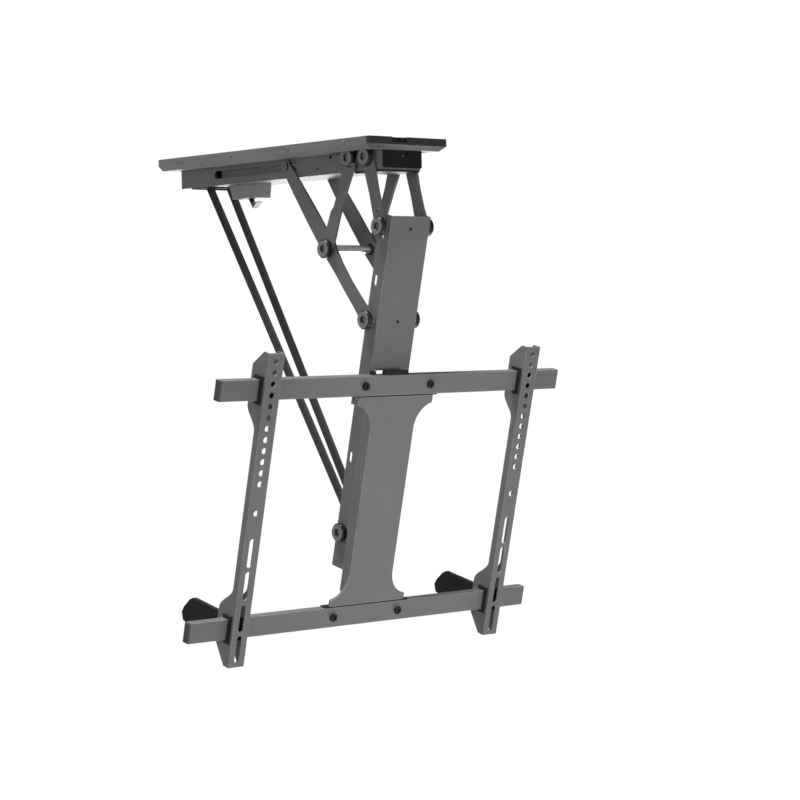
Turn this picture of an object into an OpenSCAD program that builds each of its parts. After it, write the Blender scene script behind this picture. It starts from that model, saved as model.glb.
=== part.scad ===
// Motorised flip-down ceiling mount for a television.
// Millimetres. Origin on the ceiling plane at the middle of the cover; +Z up, the screen faces -Y.
// The model stands in its open state: the column hangs down, 14 degrees from the vertical.

/* [Ceiling cover] */
// Length of the cover, front to rear
cover_l = 516; // [480:2:560]
// Width of the cover
cover_w = 150; // [144:1:180]
// Depth of the cover below the ceiling
cover_h = 18; // [18:0.5:19]
// Height of the cover's upright sides
cover_side_h = 11; // [8:0.5:13]
// Run of the cover's sloped lower edge
cover_slope = 8; // [4:0.5:10]
// Thickness of the cover's wall
cover_t = 2; // [1.5:0.1:2.5]
// Thickness of the plate that is bolted to the ceiling
ceiling_t = 3; // [2.5:0.1:3.5]
// Radius of the holes for the ceiling bolts
ceiling_hole_r = 4.5; // [3.5:0.1:5.5]
// Distance between the ceiling bolts across the mount
ceiling_bolt_w = 108; // [100:1:112]
// Distance between the ceiling bolts along the mount
ceiling_bolt_l = 420; // [380:2:440]

/* [Channel] */
// Width of the channel under the ceiling plate
channel_w = 74; // [74:0.1:74.4]
// Depth of the channel's underside below the ceiling
channel_h = 46; // [45:0.5:50]
// Room between the cover's front end and the channel's
channel_front_room = 16; // [12:1:20]
// Rear end of the channel
channel_rear = 249; // [240:1:252]
// Sheet thickness of the channel
channel_t = 2.5; // [2:0.1:2.7]
// Height of the slot that the slide pin runs in
slot_h = 12.5; // [12.4:0.1:13.5]
// Front end of that slot, from the origin towards the viewer
slot_front = 45; // [40:1:50]
// Rear end of that slot
slot_rear = 163; // [150:1:170]
// Depth of the slot's middle below the ceiling
slot_depth = 29.3; // [29.2:0.1:29.6]

/* [Linkage] */
// Thickness of the link plates
link_t = 4; // [3.6:0.1:4]
// Half width of a link at its big ends
link_end_r = 13; // [12:0.5:13.5]
// Radius of a pivot bolt's head
head_r = 14; // [12:0.5:14.5]
// Length of a pivot bolt's head
head_h = 8.5; // [6:0.5:9]
// Radius of a pivot bolt's shank
shank_r = 5; // [4.5:0.1:5.5]
// Radius of the thinner shank of the top links' bolt
slip_shank_r = 3.5; // [3:0.1:3.6]
// Radius of the slide pin
slide_pin_r = 3; // [2.5:0.1:3]
// Radius of the bright cross rod
rod_r = 6; // [5.6:0.1:7]

/* [Column] */
// Width of the column
column_w = 74.5; // [74.3:0.1:74.8]
// Length of the column's front web
column_web_l = 230; // [200:1:232]
// Length of the column's side walls
column_l = 535; // [500:1:540]
// Depth of the column, front to rear
column_d = 25.6; // [25:0.1:30]
// Sheet thickness of the column
column_t = 2.5; // [2:0.1:3]

/* [Rails] */
// Length of a rail
rail_l = 650; // [620:5:760]
// Height of a rail
rail_h = 30; // [28:0.5:32]
// Depth of a rail, front to rear
rail_d = 12; // [12:0.5:14]
// Wall thickness of a rail
rail_t = 1.5; // [1:0.1:2]
// Distance between the tops of the two rails
rail_pitch = 353; // [340:1:360]
// Thickness of the plate that carries the rails
carrier_t = 4; // [3:0.1:4]
// Half width of the carrier plate where it meets the rails
carrier_flare = 72; // [68:0.5:80]

/* [Screen brackets] */
// Distance between the two screen brackets' hole lines
screen_w = 500; // [460:5:520]
// Shift of the two brackets to the right
screen_shift = 7; // [0:1:10]
// Length of a screen bracket
bracket_l = 463; // [455:1:475]
// Width of a screen bracket
bracket_w = 28; // [26:0.5:32]
// Sheet thickness of a screen bracket
bracket_t = 2.5; // [2:0.1:3]
// Radius of the holes for the screen's screws
screen_hole_r = 4.5; // [3.5:0.1:5]
// Distance between those holes
screen_hole_pitch = 16.2; // [15:0.1:17]

/* [Straps] */
// Width of a lifting strap
strap_w = 16; // [14:0.5:17]
// Thickness of a lifting strap
strap_t = 1.8; // [1.2:0.1:2]
// Distance of a strap's middle from the centre plane, at the drum
strap_x = 20; // [19.5:0.1:20.5]

/* [Hidden] */
$fn = 48;

// Lean of the open column from the vertical
lean = 14;

// Clearances shared by everything that fits or turns
overrun = 1;
side_gap = 0.15;
bore_gap = 0.05;
seat_gap = 0.3;

// Pivots of the open linkage as [y, z]
short_top = [-181.2, -25.9];
top_top = [-214.2, -26.4];
middle = [-123.5, -157.1];
slide = [-24.4, -28.6];
column_high = [-241.2, -129];
column_low = [-206.5, -264];
strap_foot = [-131, -579];

// Planes of the links on the right side, measured from the centre plane
inner_gap = 1.25;
outer_gap = 0.75;
inner_x = channel_w / 2 + inner_gap;
outer_x = inner_x + link_t + outer_gap;

// Frame of the column: its origin is the upper rail's front top edge
column_origin = [-228, -346];
function to_column(p) = let (d = p - column_origin)
    [d[0] * cos(lean) + d[1] * sin(lean), -d[0] * sin(lean) + d[1] * cos(lean)];
high_c = to_column(column_high);
low_c = to_column(column_low);
foot_c = to_column(strap_foot);

steel = "#5a5b5c";
dark_steel = "#4a4b4c";
black = "#1f2021";
chrome = "#d0d2d4";
zinc = "#a9acb0";

// Puts a drawing in the plane of [y, z] and gives it a thickness along x
module slab(x0, t) {
    translate([x0, 0, 0]) rotate([90, 0, 90]) linear_extrude(t) children();
}

// A round bar along x
module bar(p, r, x0, x1) {
    translate([x0, p[0], p[1]]) rotate([0, 90, 0]) cylinder(r = r, h = x1 - x0);
}

// Children on the right side and mirrored on the left
module both_sides() {
    children();
    mirror([1, 0, 0]) children();
}

// The column's own frame: y to the rear and z up along the column
module in_column() {
    translate([0, column_origin[0], column_origin[1]]) rotate([lean, 0, 0]) children();
}

// Pivot bolt head on the right side, its socket facing outwards
socket_r = 5.4;
socket_h = 5;
head_chamfer = 2;
module bolt_head(p, x0, r = head_r, h = head_h, edge = head_chamfer, s = socket_r) {
    translate([x0, p[0], p[1]]) rotate([0, 90, 0]) difference() {
        rotate_extrude() polygon([[0, 0], [r, 0], [r, h - edge], [r - edge, h], [0, h]]);
        translate([0, 0, h - min(socket_h, h / 2)]) cylinder(r = s, h = h, $fn = 6);
        translate([0, 0, h - edge / 2]) cylinder(r1 = s, r2 = s + edge, h = edge);
    }
}

// Nut on the inner end of a bolt
nut_h = 5;
module nut(p, r, x1, h = nut_h) {
    translate([x1 - h, p[0], p[1]]) rotate([0, 90, 0]) cylinder(r = r, h = h, $fn = 6);
}

// Ceiling unit

cover_front = -cover_l / 2;
channel_front = -cover_front - channel_front_room;
pivot_window_front = 234;
pivot_window_rear = 145;
slide_window_front = 45;
slide_window_rear = 140;
pivot_window_w = 59;
notch_w = 29;
notch_h = 8;
notch_x = -16;
front_cap_l = 6.5;
seam_w = 1.5;
seam_x = 46;
cover_gap = 0.4;
lip_h = cover_h - cover_side_h;

// Cross section of the cover, and its long section
module cover_outline(inset = 0) {
    half = cover_w / 2 - inset;
    polygon([[-half, 0], [half, 0], [half, -cover_side_h], [half - cover_slope, inset - cover_h],
        [cover_slope - half, inset - cover_h], [-half, -cover_side_h]]);
}

module cover_profile(inset = 0) {
    half = cover_l / 2 - inset;
    polygon([[-half, overrun], [half, overrun], [half, inset - cover_h],
        [cover_slope - half, inset - cover_h], [-half, -cover_side_h]]);
}

module cover_body(inset = 0) intersection() {
    translate([0, cover_l, 0]) rotate([90, 0, 0]) linear_extrude(2 * cover_l) cover_outline(inset);
    slab(-cover_w, 2 * cover_w) cover_profile(inset);
}

module cover_shell() difference() {
    cover_body();
    cover_body(cover_t);
    translate([-channel_w / 2 - cover_gap, -channel_front - fascia_t - cover_gap, -cover_h - overrun])
        cube([channel_w + 2 * cover_gap, channel_front + fascia_t + channel_rear + 2 * cover_gap, lip_h]);
    translate([-pivot_window_w, -pivot_window_front, -cover_h - overrun])
        cube([2 * pivot_window_w, pivot_window_front - pivot_window_rear, lip_h]);
    slide_window_w = inner_x + link_t + overrun;
    translate([-slide_window_w, -slide_window_front, -cover_h - overrun])
        cube([2 * slide_window_w, slide_window_front + slide_window_rear, lip_h]);
    translate([notch_x - notch_w / 2, cover_front - overrun, -notch_h])
        cube([notch_w, cover_t + 2 * overrun, notch_h + overrun]);
    translate([seam_x - seam_w / 2, cover_front - overrun, -cover_side_h])
        cube([seam_w, overrun + cover_t / 2, cover_side_h + overrun]);
    for (y = cover_screw_y, s = [-1, 1])
        translate([s * (cover_w / 2 - cover_t - overrun), y, -cover_screw_z]) rotate([0, s * 90, 0])
            cylinder(r = cover_screw_r, h = cover_t + 2 * overrun);
}

// Everything in front of y
module ahead_of(y) {
    translate([-cover_w, cover_front - overrun, -cover_h - overrun])
        cube([2 * cover_w, y - cover_front + overrun, cover_h + 2 * overrun]);
}

module tray_cover() color(steel) difference() {
    cover_shell();
    ahead_of(cover_front + front_cap_l + seat_gap);
}

module cover_front_cap() color(black) intersection() {
    cover_shell();
    ahead_of(cover_front + front_cap_l);
}

bush_gap = 0.2;
bush_drop = 0.6;
bush_bore_r = 1.8;
bush_back = 3.5;
bush_l = 4.2;
module cable_bush() color(black) difference() {
    w = notch_w - 2 * bush_gap;
    translate([notch_x - w / 2, cover_front + bush_back, bush_gap - notch_h])
        cube([w, bush_l, notch_h - bush_gap - bush_drop]);
    translate([notch_x, cover_front, -(notch_h + ceiling_t) / 2]) rotate([-90, 0, 0])
        cylinder(r = bush_bore_r, h = bush_back + 2 * bush_l);
}

ceiling_gap = 0.3;
module ceiling_plate() color(dark_steel) difference() {
    half_w = cover_w / 2 - cover_t - ceiling_gap;
    half_l = cover_l / 2 - cover_t - ceiling_gap;
    union() {
        translate([-half_w, -half_l, -ceiling_t]) cube([2 * half_w, 2 * half_l, ceiling_t]);
        for (y = cover_screw_y, s = [-1, 1])
            translate([s < 0 ? -half_w : half_w - ear_t, y - ear_w / 2, -cover_side_h])
                cube([ear_t, ear_w, cover_side_h - ceiling_t / 2]);
    }
    translate([notch_x - notch_w / 2, -half_l - overrun, -ceiling_t - overrun])
        cube([notch_w, bush_back + bush_l + overrun - cover_t, ceiling_t + 2 * overrun]);
    for (x = [-1, 1] * ceiling_bolt_w / 2, y = [-1, 1] * ceiling_bolt_l / 2)
        translate([x, y, -ceiling_t - overrun]) cylinder(r = ceiling_hole_r, h = ceiling_t + 2 * overrun);
    for (y = cover_screw_y, s = [-1, 1])
        translate([s * (half_w - ear_t - overrun), y, -cover_screw_z]) rotate([0, s * 90, 0])
            cylinder(r = cover_screw_r, h = ear_t + 2 * overrun);
    for (y = channel_bolt_y, s = [-1, 1])
        translate([s * channel_bolt_x, y, -ceiling_t - overrun])
            cylinder(r = channel_bolt_r, h = ceiling_t + 2 * overrun);
}

ear_t = 2;
ear_w = 14;
cover_screw_shares = [-0.388, -0.136, 0.136, 0.388];
cover_screw_y = cover_screw_shares * cover_l;
cover_screw_z = 6.5;
cover_screw_r = 1.6;
cover_screw_head_r = 3;
cover_screw_head_h = 1.2;
module cover_screws() color(black) for (y = cover_screw_y) both_sides() {
    x_out = cover_w / 2;
    bar([y, -cover_screw_z], cover_screw_r - bore_gap, x_out - cover_t - ceiling_gap - ear_t, x_out);
    bolt_head([y, -cover_screw_z], x_out, cover_screw_head_r, cover_screw_head_h, cover_screw_head_h / 3,
        cover_screw_head_r / 3);
}

channel_bolt_x = 27;
channel_bolt_shares = [0.157, 0.31, 0.554, 0.758, 0.974];
channel_bolt_y = [for (s = channel_bolt_shares) s * (channel_front + channel_rear) - channel_front];
channel_bolt_r = 2.6;
channel_bolt_head_h = 2.5;
channel_bolt_nut_r = 4.6;
channel_lip = 18;
module channel() color(steel) difference() {
    l = channel_front + channel_rear;
    union() {
        difference() {
            translate([-channel_w / 2, -channel_front, -channel_h]) cube([channel_w, l, channel_h - ceiling_t]);
            translate([-channel_w / 2 + channel_t, -channel_front - overrun, -channel_h + channel_t])
                cube([channel_w - 2 * channel_t, l - channel_t + overrun, channel_h]);
        }
        for (s = [0, 1]) mirror([s, 0, 0])
            translate([channel_w / 2 - channel_lip, -channel_front, -ceiling_t - channel_t])
                cube([channel_lip - channel_t / 2, l - channel_t / 2, channel_t]);
    }
    translate([-channel_w, -slot_front, -slot_depth]) rotate([90, 0, 90]) linear_extrude(2 * channel_w)
        slot_2d(slot_front + slot_rear, slot_h);
    for (p = [short_top, top_top])
        bar(p, shank_r + bore_gap, -channel_w, channel_w);
    bar(side_hole, side_hole_r, -channel_w, channel_w);
    bar(side_screw, side_screw_r, -channel_w, channel_w);
    for (y = channel_bolt_y, s = [-1, 1])
        translate([s * channel_bolt_x, y, -ceiling_t - channel_t - overrun])
            cylinder(r = channel_bolt_r, h = channel_t + 2 * overrun);
    translate([-strap_window_w / 2, strap_window_y - strap_window_l / 2, -channel_h - overrun])
        cube([strap_window_w, strap_window_l, channel_t + 2 * overrun]);
    translate([-switch_w / 2 + switch_wall, switch_front + switch_wall, -channel_h - overrun])
        cube([switch_w - 2 * switch_wall, switch_wire_l, channel_t + 2 * overrun]);
}

// Slot from [0, 0] along the first axis, its middle line on the axis
module slot_2d(l, h) {
    translate([h / 2, 0]) circle(h / 2);
    translate([l - h / 2, 0]) circle(h / 2);
    translate([h / 2, -h / 2]) square([l - h, h]);
}

side_hole = [-94, -36];
side_hole_r = 2.2;
side_screw = [-125, -21];
side_screw_r = 1.6;
side_screw_head_r = 3;
module channel_bolts() color(zinc) {
    for (y = channel_bolt_y, s = [-1, 1]) translate([s * channel_bolt_x, y, 0]) {
        translate([0, 0, -ceiling_t - channel_t - channel_bolt_head_h])
            cylinder(r = channel_bolt_nut_r, h = channel_bolt_head_h, $fn = 6);
        translate([0, 0, -ceiling_t - channel_t - overrun])
            cylinder(r = channel_bolt_r - bore_gap, h = channel_t + ceiling_t + overrun);
    }
    both_sides() {
        bar(side_screw, side_screw_r - bore_gap, channel_w / 2 - 2 * channel_t, channel_w / 2 + overrun / 2);
        bolt_head(side_screw, channel_w / 2, side_screw_head_r, cover_screw_head_h, cover_screw_head_h / 3,
            side_screw_head_r / 3);
    }
}

fascia_t = 3;
fascia_h = 25;
control_l = 60;
control_gap = 0.4;
control_wall = 2;
window_r = 2.5;
window_z = -26;
status_x = 9.7;
status_r = 2.2;
module control_box() color(black) difference() {
    w = channel_w - 2 * channel_t - 2 * nut_h - 2 * control_gap;
    z1 = -ceiling_t - channel_t - control_gap;
    z0 = -channel_h + channel_t + control_gap;
    union() {
        translate([-channel_w / 2, -channel_front - fascia_t, -cover_h - fascia_h])
            cube([channel_w, fascia_t, fascia_h]);
        translate([-w / 2, -channel_front - overrun, z0]) cube([w, control_l + overrun, z1 - z0]);
    }
    translate([-w / 2 + control_wall, -channel_front, z0 + control_wall])
        cube([w - 2 * control_wall, control_l - control_wall, z1 - z0 - 2 * control_wall]);
    translate([0, -channel_front, window_z]) rotate([90, 0, 0])
        cylinder(r = window_r, h = fascia_t + overrun);
    translate([status_x, -channel_front, window_z + status_r]) rotate([90, 0, 0])
        cylinder(r = status_r, h = fascia_t + overrun);
    translate([inlet_x - inlet_w / 2, -channel_front + control_l - control_wall - overrun, inlet_z - inlet_h / 2])
        cube([inlet_w, control_wall + 2 * overrun, inlet_h]);
}

board_t = 1.6;
board_standoff = 6;
board_margin = 4;
chip_w = 9;
chip_h = 2;
relay_w = 14;
relay_h = 9;
module control_board() color("#1d4a2e") {
    w = 2 * (channel_w / 2 - channel_t - nut_h - 2 * board_margin - head_chamfer);
    z0 = -channel_h + channel_t + control_gap + control_wall;
    y0 = -channel_front + board_margin;
    l = control_l - 2 * board_margin;
    translate([-w / 2, y0, z0 + board_standoff]) cube([w, l, board_t]);
    for (x = [-1, 1], y = [0, 1])
        translate([x * (w / 2 - board_margin), y0 + board_margin + y * (l - 2 * board_margin), z0])
            cylinder(r = board_margin / 2, h = board_standoff);
    translate([-relay_w - chip_w / 2, y0 + l / 2, z0 + board_standoff + board_t])
        cube([relay_w, relay_w, relay_h]);
    translate([chip_w / 2, y0 + l / 2, z0 + board_standoff + board_t]) cube([chip_w, chip_w, chip_h]);
}

window_lens_h = 1;
module infrared_window() color("#7a1016") translate([0, -channel_front - overrun / 2, window_z]) rotate([90, 0, 0])
    cylinder(r = window_r - bore_gap, h = fascia_t - overrun / 2 + window_lens_h / 2);

inlet_x = -18;
inlet_z = -18;
inlet_w = 14;
inlet_h = 11;
inlet_l = 14;
inlet_lip = 2;
inlet_bore_r = 3.2;
module power_inlet() color(black) translate([inlet_x, -channel_front + control_l, inlet_z]) difference() {
    union() {
        translate([-inlet_w / 2 + bore_gap, -inlet_l + inlet_lip, -inlet_h / 2 + bore_gap])
            cube([inlet_w - 2 * bore_gap, inlet_l, inlet_h - 2 * bore_gap]);
        translate([-inlet_w / 2 - inlet_lip, 0, -inlet_h / 2 - inlet_lip])
            cube([inlet_w + 2 * inlet_lip, inlet_lip, inlet_h + 2 * inlet_lip]);
    }
    translate([0, -inlet_lip, 0]) rotate([-90, 0, 0]) cylinder(r = inlet_bore_r, h = inlet_l);
}

// The strap leaves the drum along the line from the strap's foot through this point
strap_exit = [195, -49];
strap_rise = 24;
strap_run = strap_exit - strap_foot;
strap_dir = strap_run / norm(strap_run);
strap_side = [-strap_dir[1], strap_dir[0]];
roll_r = 13;
drum = strap_exit + strap_rise * strap_dir + (roll_r + strap_t / 2 + seat_gap) * strap_side;
drum_core_r = 9;
drum_flange_r = 15.2;
drum_flange_t = 1.5;
drum_shaft_r = 4;
lane_gap = 1;
drum_lane_w = strap_w + 2 * lane_gap;
bush_r = 7;
bush_flange_r = 10;
bush_flange_t = 2;

motor_r = 11;
motor_front = 8;
motor_rear = 120;
planet_r = 10.5;
motor_z = -31.5;
worm_r = 3;
gearbox_w = 18;
gearbox_wall = 2;
gearbox_front = 174;
gearbox_rear = 215;
gearbox_low = -42.8;
gearbox_high = -6;
gearbox_screw = 3;
module gear_motor() color(zinc) {
    translate([0, motor_front, motor_z]) rotate([-90, 0, 0]) cylinder(r = motor_r, h = motor_rear - motor_front);
    translate([0, motor_rear, motor_z]) rotate([-90, 0, 0])
        cylinder(r = planet_r, h = gearbox_front - motor_rear);
    translate([0, gearbox_front - overrun, motor_z]) rotate([-90, 0, 0])
        cylinder(r = worm_r, h = gearbox_rear - gearbox_front - gearbox_wall - gearbox_screw + overrun);
    translate([0, motor_front - overrun, motor_z]) rotate([-90, 0, 0]) cylinder(r = worm_r, h = 2 * overrun);
}

saddle_w = 12;
saddle_t = 2;
motor_saddle_y = 30;
planet_saddle_y = 150;
saddle_y = [motor_saddle_y, planet_saddle_y];
module motor_saddle() color(dark_steel) for (y = saddle_y) difference() {
    r = y < motor_rear ? motor_r : planet_r;
    z0 = -channel_h + channel_t;
    translate([-r - saddle_t, y - saddle_w / 2, z0])
        cube([2 * (r + saddle_t), saddle_w, motor_z - z0]);
    translate([0, y - saddle_w, motor_z]) rotate([-90, 0, 0]) cylinder(r = r + bore_gap, h = 2 * saddle_w);
}

module gearbox() color(zinc) difference() {
    translate([-gearbox_w / 2, gearbox_front, gearbox_low])
        cube([gearbox_w, gearbox_rear - gearbox_front, gearbox_high - gearbox_low]);
    translate([-gearbox_w / 2 + gearbox_wall, gearbox_front + gearbox_wall, gearbox_low + gearbox_wall])
        cube([gearbox_w - 2 * gearbox_wall, gearbox_rear - gearbox_front - 2 * gearbox_wall,
            gearbox_high - gearbox_low - 2 * gearbox_wall]);
    bar(drum, drum_shaft_r + bore_gap, -gearbox_w, gearbox_w);
    translate([0, gearbox_front - overrun, motor_z]) rotate([-90, 0, 0])
        cylinder(r = worm_r + bore_gap, h = gearbox_wall + 2 * overrun);
}

drum_bush_l = 3.2;
module drum_bushes() color(black) both_sides() difference() {
    x1 = channel_w / 2 - channel_t - bore_gap;
    union() {
        bar(drum, bush_r, x1 - drum_bush_l, x1);
        bar(drum, bush_flange_r, x1 - bush_flange_t, x1);
    }
    bar(drum, drum_shaft_r + bore_gap, 0, channel_w);
}

wheel_r = drum[1] - motor_z - worm_r - seat_gap;
module drum_shaft() color(zinc) {
    bar(drum, drum_shaft_r, channel_t + seat_gap - channel_w / 2, channel_w / 2 - channel_t - seat_gap);
    bar(drum, wheel_r, -gearbox_w / 2 + gearbox_wall + seat_gap, gearbox_w / 2 - gearbox_wall - seat_gap);
}

lane_x0 = strap_x - drum_lane_w / 2;
lane_x1 = strap_x + drum_lane_w / 2;
module strap_drum() color(black) both_sides() difference() {
    union() {
        bar(drum, drum_core_r, lane_x0 - drum_flange_t / 2, lane_x1 + drum_flange_t / 2);
        bar(drum, drum_flange_r, lane_x0 - drum_flange_t, lane_x0);
        bar(drum, drum_flange_r, lane_x1, lane_x1 + drum_flange_t);
    }
    bar(drum, drum_shaft_r + bore_gap, 0, channel_w);
}

module strap_rolls() color(black) both_sides() difference() {
    bar(drum, roll_r, strap_x - strap_w / 2, strap_x + strap_w / 2);
    bar(drum, drum_core_r + bore_gap, 0, channel_w);
}

strap_window_w = 62;
strap_window_l = 42;
strap_window_y = 204;
grommet_wall = 2.5;
grommet_t = 2;
module strap_grommet() color(black) difference() {
    w = strap_window_w + 2 * grommet_wall;
    l = strap_window_l + 2 * grommet_wall;
    translate([-w / 2, strap_window_y - l / 2, -channel_h - grommet_t]) cube([w, l, grommet_t]);
    translate([-strap_window_w / 2, strap_window_y - strap_window_l / 2, -channel_h - 2 * grommet_t])
        cube([strap_window_w, strap_window_l, 3 * grommet_t]);
}

switch_front = 84;
switch_rear = 153;
switch_w = 31;
switch_h = 22;
switch_wall = 2;
switch_slope = 9;
switch_taper = 3;
switch_wire_l = 20;
module limit_switch_box() color(steel) difference() {
    l = switch_rear - switch_front;
    outline = [[0, 0], [l, 0], [l - switch_slope, -switch_h], [switch_taper, -switch_h]];
    translate([0, switch_front, -channel_h]) slab(-switch_w / 2, switch_w) polygon(outline);
    translate([0, switch_front, -channel_h]) slab(-switch_w / 2 + switch_wall, switch_w - 2 * switch_wall)
        polygon([[switch_wall + switch_taper, overrun], [l - switch_wall - switch_slope, overrun],
            [l - 2 * switch_wall - switch_slope, switch_wall - switch_h],
            [2 * switch_wall + switch_taper, switch_wall - switch_h]]);
    translate([-lever_w / 2 - seat_gap, lever_pivot[0] - lever_slot_front, -channel_h - switch_h - overrun])
        cube([lever_w + 2 * seat_gap, lever_slot_front + lever_slot_rear, switch_wall + 2 * overrun]);
}

lever_pivot = [119, -64];
lever_slot_front = 9;
lever_slot_rear = 4;
lever_w = 10;
lever_t = 1.2;
lever_pin_r = 1.5;
lever_l = 23;
lever_drop = 18.5;
// Corners of the bent arm as shares of its length and of its drop
lever_arm_shares = [[0, 0], [-0.52, -1], [-1, -0.54]];
lever_arm = [for (s = lever_arm_shares) [s[0] * lever_l, s[1] * lever_drop]];
module switch_lever() color(zinc) translate([0, lever_pivot[0], lever_pivot[1]]) {
    bar([0, 0], lever_pin_r, -switch_w / 2 + switch_wall + seat_gap, switch_w / 2 - switch_wall - seat_gap);
    for (i = [0, 1]) let (a = lever_arm[i], b = lever_arm[i + 1], d = b - a)
        slab(-lever_w / 2, lever_w) translate(a) rotate(atan2(d[1], d[0]))
            translate([0, -lever_t / 2]) square([norm(d) + lever_t / 2, lever_t]);
}

bump_front = 240;
bump_l = 60;
bump_t = 3;
module bump_stop() color(black) translate([-channel_w / 2, -bump_front, -channel_h - bump_t])
    cube([channel_w, bump_l, bump_t]);

guide_t = 8.7;
guide_h = 4.5;
guide_gap = 7.5;
guide_front = 41;
guide_rear = 137;
module slide_guides() color(black) both_sides() for (s = [-1, 1])
    translate([channel_w / 2 - channel_t - guide_t, -guide_front, s < 0 ? -slot_depth - guide_gap - guide_h
        : -slot_depth + guide_gap]) cube([guide_t, guide_front + guide_rear, guide_h]);

track_t = 1.6;
track_front = 41;
track_rear = 157.8;
module slide_tracks() color(steel) both_sides()
    translate([channel_w / 2 - channel_t - guide_t - bush_gap - track_t, -track_front,
        -slot_depth - guide_gap - guide_h]) cube([track_t, track_front + track_rear, 2 * (guide_gap + guide_h)]);

spacer_r = 10;
module ceiling_pivot_bolts() color(black) both_sides() {
    bar(short_top, shank_r, channel_w / 2 - channel_t - nut_h, outer_x + link_t + side_gap + overrun);
    bolt_head(short_top, outer_x + link_t + side_gap);
    nut(short_top, nut_r, channel_w / 2 - channel_t);
    bar(top_top, shank_r, channel_w / 2 - channel_t - nut_h, inner_x + link_t + side_gap + overrun);
    bolt_head(top_top, inner_x + link_t + side_gap);
    nut(top_top, nut_r, channel_w / 2 - channel_t);
}
nut_r = 9;

module ceiling_spacers() color(zinc) both_sides() {
    difference() {
        bar(short_top, spacer_r, channel_w / 2, outer_x - side_gap);
        bar(short_top, shank_r + bore_gap, 0, channel_w);
    }
    difference() {
        bar(top_top, spacer_r, channel_w / 2, inner_x - side_gap);
        bar(top_top, shank_r + bore_gap, 0, channel_w);
    }
}

// Links

// Outline from [0, 0] to [l, 0]; each station has shares of l and of the upper and lower half width
module link_outline(stations, l) {
    upper = [for (s = stations) [s[0] * l, s[1] * link_end_r]];
    lower = [for (i = [len(stations) - 1 : -1 : 0]) [stations[i][0] * l, -stations[i][2] * link_end_r]];
    polygon(concat(upper, lower));
}

// Link plate in its place, from pivot a to pivot b, with a round end at each
module link_plate(x0, a, b, ra, rb, stations) {
    d = b - a;
    bar(a, ra, x0, x0 + link_t);
    bar(b, rb, x0, x0 + link_t);
    slab(x0, link_t) translate(a) rotate(atan2(d[1], d[0])) link_outline(stations, norm(d));
}

// Bore through the link plates at p
module link_bore(p, r) {
    bar(p, r + bore_gap, inner_x - overrun, outer_x + link_t + overrun);
}

// The short link has a waist and, on its rear edge, a step back to full width
end_share = 0.97;
short_shares = [[0, end_share, end_share], [0.16, 0.885, 0.96], [0.34, 0.69, 0.81], [0.5, 0.65, 0.73],
    [0.56, 0.69, 0.73], [0.62, 0.96, 0.73], [0.78, 0.96, 0.81], [1, end_share, end_share]];
module short_link() color(steel) difference() {
    link_plate(outer_x, short_top, middle, link_end_r, link_end_r, short_shares);
    link_bore(short_top, shank_r);
    link_bore(middle, shank_r);
}

slide_end_r = 9.5;
slide_end_share = end_share * slide_end_r / link_end_r;
long_upper_shares = [[0, slide_end_share, slide_end_share], [0.25, 0.92, 0.81], [0.6, 1.08, 0.96], [1, 1.15, 1]];
long_lower_shares = [[0, 1.15, 1], [0.25, 1, 0.65], [0.5, 1, 0.58], [0.75, 0.92, 0.73],
    [1, end_share, end_share]];
module long_link() color(steel) difference() {
    union() {
        link_plate(inner_x, slide, middle, slide_end_r, link_end_r + overrun, long_upper_shares);
        link_plate(inner_x, middle, column_low, link_end_r + overrun, link_end_r, long_lower_shares);
    }
    link_bore(slide, slide_pin_r);
    link_bore(middle, shank_r);
    link_bore(column_low, shank_r);
}

top_shares = [[0, 0.92, 0.92], [0.25, 0.92, 0.81], [0.5, 0.85, 0.69], [0.75, 0.92, 0.73],
    [1, end_share, end_share]];
top_hole_share = 0.777;
top_hole_r = 3.2;
module top_link(hole) color(steel) difference() {
    link_plate(inner_x, top_top, column_high, link_end_r, link_end_r, top_shares);
    link_bore(top_top, shank_r);
    link_bore(column_high, slip_shank_r);
    if (hole) link_bore(top_top + top_hole_share * (column_high - top_top), top_hole_r - bore_gap);
}

rod_end = inner_x - side_gap;
module cross_rod() color(chrome) difference() {
    bar(middle, rod_r, -rod_end, rod_end);
    bar(middle, shank_r + bore_gap, rod_end - rod_thread, channel_w);
    bar(middle, shank_r + bore_gap, -channel_w, rod_thread - rod_end);
}
rod_thread = 18;

rod_washer_r = 8.5;
rod_washer_t = 2.5;
module rod_washers() color(black) both_sides() difference() {
    bar(middle, rod_washer_r, rod_end - rod_washer_t, rod_end);
    bar(middle, rod_r + bore_gap, 0, channel_w);
}

module middle_pivot_bolts() color(black) both_sides() {
    bar(middle, shank_r, rod_end - rod_thread + overrun, outer_x + link_t + side_gap + overrun);
    bolt_head(middle, outer_x + link_t + side_gap);
}

slide_head_r = 6.5;
slide_head_h = 3;
shoe_l = 22;
shoe_h = 9;
shoe_t = 8;
module slide_pins() color(black) both_sides() {
    bar(slide, slide_pin_r, shoe_x0 + overrun, inner_x + link_t + side_gap + overrun);
    bolt_head(slide, inner_x + link_t + side_gap, slide_head_r, slide_head_h, overrun / 2, slide_pin_r);
}

shoe_x1 = channel_w / 2 - channel_t - seat_gap;
shoe_x0 = shoe_x1 - shoe_t;
module slide_shoes() color("#c9c9c4") both_sides() difference() {
    translate([shoe_x0, slide[0] - shoe_l / 2, slide[1] - shoe_h / 2]) cube([shoe_t, shoe_l, shoe_h]);
    bar(slide, slide_pin_r + bore_gap, shoe_x0 - overrun, channel_w);
}

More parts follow.
